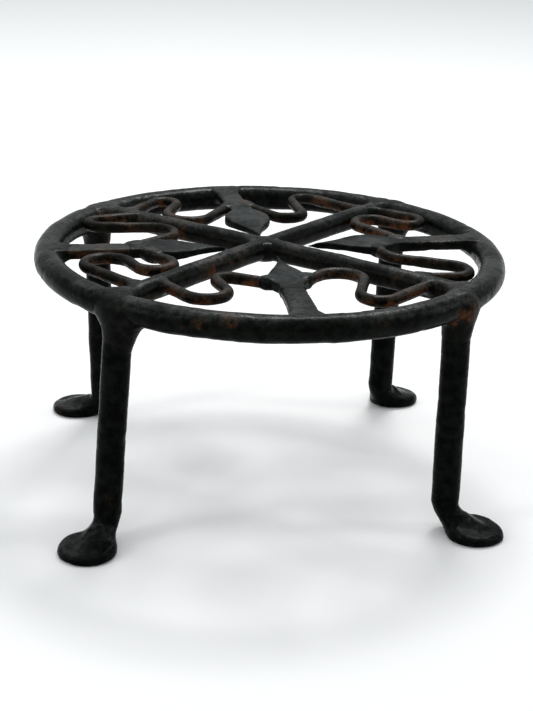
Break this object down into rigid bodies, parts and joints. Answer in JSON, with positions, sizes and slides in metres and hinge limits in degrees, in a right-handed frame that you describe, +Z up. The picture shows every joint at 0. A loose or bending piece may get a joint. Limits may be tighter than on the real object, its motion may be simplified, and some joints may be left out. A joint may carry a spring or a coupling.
{
  "type": "round footed trivet",
  "caption": "Round wrought-iron trivet: a ring crossed by bars and filled with spokes, flat leaves and bent scrolls, on legs with flat round feet. It holds a hot pot off a surface.",
  "frame": {"origin": "on the floor, under the middle of the ring", "axes": "+Z up; the four spokes lie nearly along X and Y, and the front is -Y"},
  "size_m": [0.2078, 0.2078, 0.1073],
  "materials": {
    "ring_iron": "blackened forged iron, satin, rubbed on top",
    "bar_iron": "blackened forged iron, satin",
    "leaf_iron": "blackened hammered plate, matte grey",
    "wire_iron": "blackened wire with brown rust",
    "leg_iron": "blackened forged iron, satin, pitted at the foot",
    "weld_iron": "rough weld bead, dark with some rust"
  },
  "bodies": {
    "root": {"ring": "ring_iron", "cross_bar_a": "bar_iron", "cross_bar_b": "bar_iron", "spoke_east": "bar_iron", "leaf_east": "leaf_iron", "spoke_north": "bar_iron", "leaf_north": "leaf_iron", "spoke_west": "bar_iron", "leaf_west": "leaf_iron", "spoke_south": "bar_iron", "leaf_south": "leaf_iron", "scroll_1": "wire_iron", "scroll_2": "wire_iron", "scroll_3": "wire_iron", "scroll_4": "wire_iron", "scroll_5": "wire_iron", "scroll_6": "wire_iron", "scroll_7": "wire_iron", "scroll_8": "wire_iron", "leg_back_right": "leg_iron", "leg_back_left": "leg_iron", "leg_front_left": "leg_iron", "leg_front_right": "leg_iron", "weld_centre": "weld_iron", "weld_spoke_east": "weld_iron", "weld_spoke_north": "weld_iron", "weld_spoke_west": "weld_iron", "weld_spoke_south": "weld_iron", "weld_bar_1": "weld_iron", "weld_bar_2": "weld_iron", "weld_bar_3": "weld_iron", "weld_bar_4": "weld_iron", "weld_bar_5": "weld_iron", "weld_bar_6": "weld_iron", "weld_bar_7": "weld_iron", "weld_bar_8": "weld_iron", "weld_leaf_1": "weld_iron", "weld_leaf_2": "weld_iron", "weld_leaf_3": "weld_iron", "weld_leaf_4": "weld_iron", "weld_leaf_5": "weld_iron", "weld_leaf_6": "weld_iron", "weld_leaf_7": "weld_iron", "weld_leaf_8": "weld_iron", "weld_ring_back_right": "weld_iron", "weld_ring_back_left": "weld_iron", "weld_ring_front_left": "weld_iron", "weld_ring_front_right": "weld_iron", "weld_leg_back_right": "weld_iron", "weld_leg_back_left": "weld_iron", "weld_leg_front_left": "weld_iron", "weld_leg_front_right": "weld_iron"}
  },
  "joints": []
}
